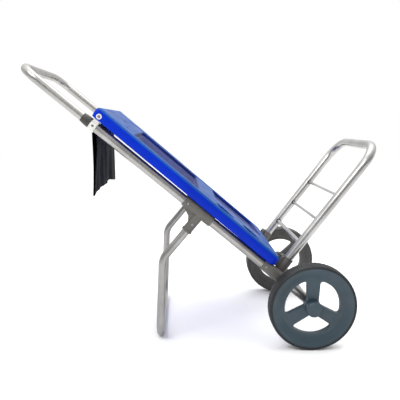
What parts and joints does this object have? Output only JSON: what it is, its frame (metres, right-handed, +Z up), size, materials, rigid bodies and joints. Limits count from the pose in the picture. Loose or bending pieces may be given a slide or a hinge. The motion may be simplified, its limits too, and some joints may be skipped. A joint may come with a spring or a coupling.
{
  "type": "beach cart",
  "caption": "Two-wheeled tube-frame beach cart with a hinged blue table top, a folding load shelf, a telescoping handle, a U stand and a hanging pouch.",
  "frame": {"origin": "On the ground, at the centre of the bounding box.", "axes": "+X points from the handle to the wheels, +Y to the cart's left side, +Z up."},
  "size_m": [1.0714, 0.548, 0.8433],
  "materials": {
    "aluminium": "satin anodised tube",
    "grey_plastic": "moulded, fine grain",
    "dark_plastic": "moulded, satin",
    "rubber_pad": "matt",
    "white_plastic": "moulded, satin",
    "steel": "zinc plated",
    "table_plastic": "glossy blow-moulded sheet",
    "rim_plastic": "moulded, satin",
    "tyre": "hard moulded tyre with a fine tread",
    "pouch_fabric": "coated nylon cloth"
  },
  "bodies": {
    "frame": {"rail_left": "aluminium", "rail_right": "aluminium", "rail_plugs": "dark_plastic", "collar_left": "dark_plastic", "collar_right": "dark_plastic", "bracket_left": "white_plastic", "bracket_right": "white_plastic", "bracket_screws": "steel", "pivot_bolts": "steel", "pivot_washers": "white_plastic", "pouch_rod": "steel", "tee_left": "grey_plastic", "tee_right": "grey_plastic", "tee_screws": "steel", "stand": "aluminium", "connector_left": "grey_plastic", "connector_right": "grey_plastic", "connector_screws": "steel", "hinge_pins": "steel", "table_pads": "rubber_pad", "axle": "steel", "axle_spacers": "steel", "push_nuts": "steel"},
    "handle": {"handle_tube": "aluminium", "handle_guides": "dark_plastic"},
    "table": {"table_top": "table_plastic", "table_base": "table_plastic"},
    "load_shelf": {"shelf_tube": "aluminium", "shelf_lower_bar": "aluminium", "shelf_rungs": "aluminium", "shelf_grommets": "dark_plastic", "knuckle_left": "grey_plastic", "knuckle_right": "grey_plastic"},
    "left_wheel": {"wheel_left": "rim_plastic", "tyre_left": "tyre", "bushing_left": "white_plastic", "hub_cap_left": "rim_plastic"},
    "right_wheel": {"wheel_right": "rim_plastic", "tyre_right": "tyre", "bushing_right": "white_plastic", "hub_cap_right": "rim_plastic"},
    "pouch_body": {"pouch": "pouch_fabric"}
  },
  "joints": [
    {"name": "handle_slide", "type": "slide", "parent": "frame", "child": "handle", "axis": [0.7716, 0, -0.6361], "range_m": [0, 0.15]},
    {"name": "table_tilt", "type": "hinge", "parent": "frame", "child": "table", "pos_m": [-0.30538, 0, 0.69263], "axis": [0, -1, 0], "range_deg": [0, 40]},
    {"name": "shelf_fold", "type": "hinge", "parent": "frame", "child": "load_shelf", "pos_m": [0.24296, 0, 0.27091], "axis": [0, -1, 0], "range_deg": [0, 87]},
    {"name": "left_wheel_turn", "type": "hinge", "parent": "frame", "child": "left_wheel", "pos_m": [0.3232, 0, 0.133], "axis": [0, 1, 0], "continuous": true},
    {"name": "right_wheel_turn", "type": "hinge", "parent": "frame", "child": "right_wheel", "pos_m": [0.3232, 0, 0.133], "axis": [0, 1, 0], "continuous": true},
    {"name": "pouch_swing", "type": "hinge", "parent": "frame", "child": "pouch_body", "pos_m": [-0.32765, 0, 0.66563], "axis": [0, 1, 0], "range_deg": [-40, 40]}
  ]
}
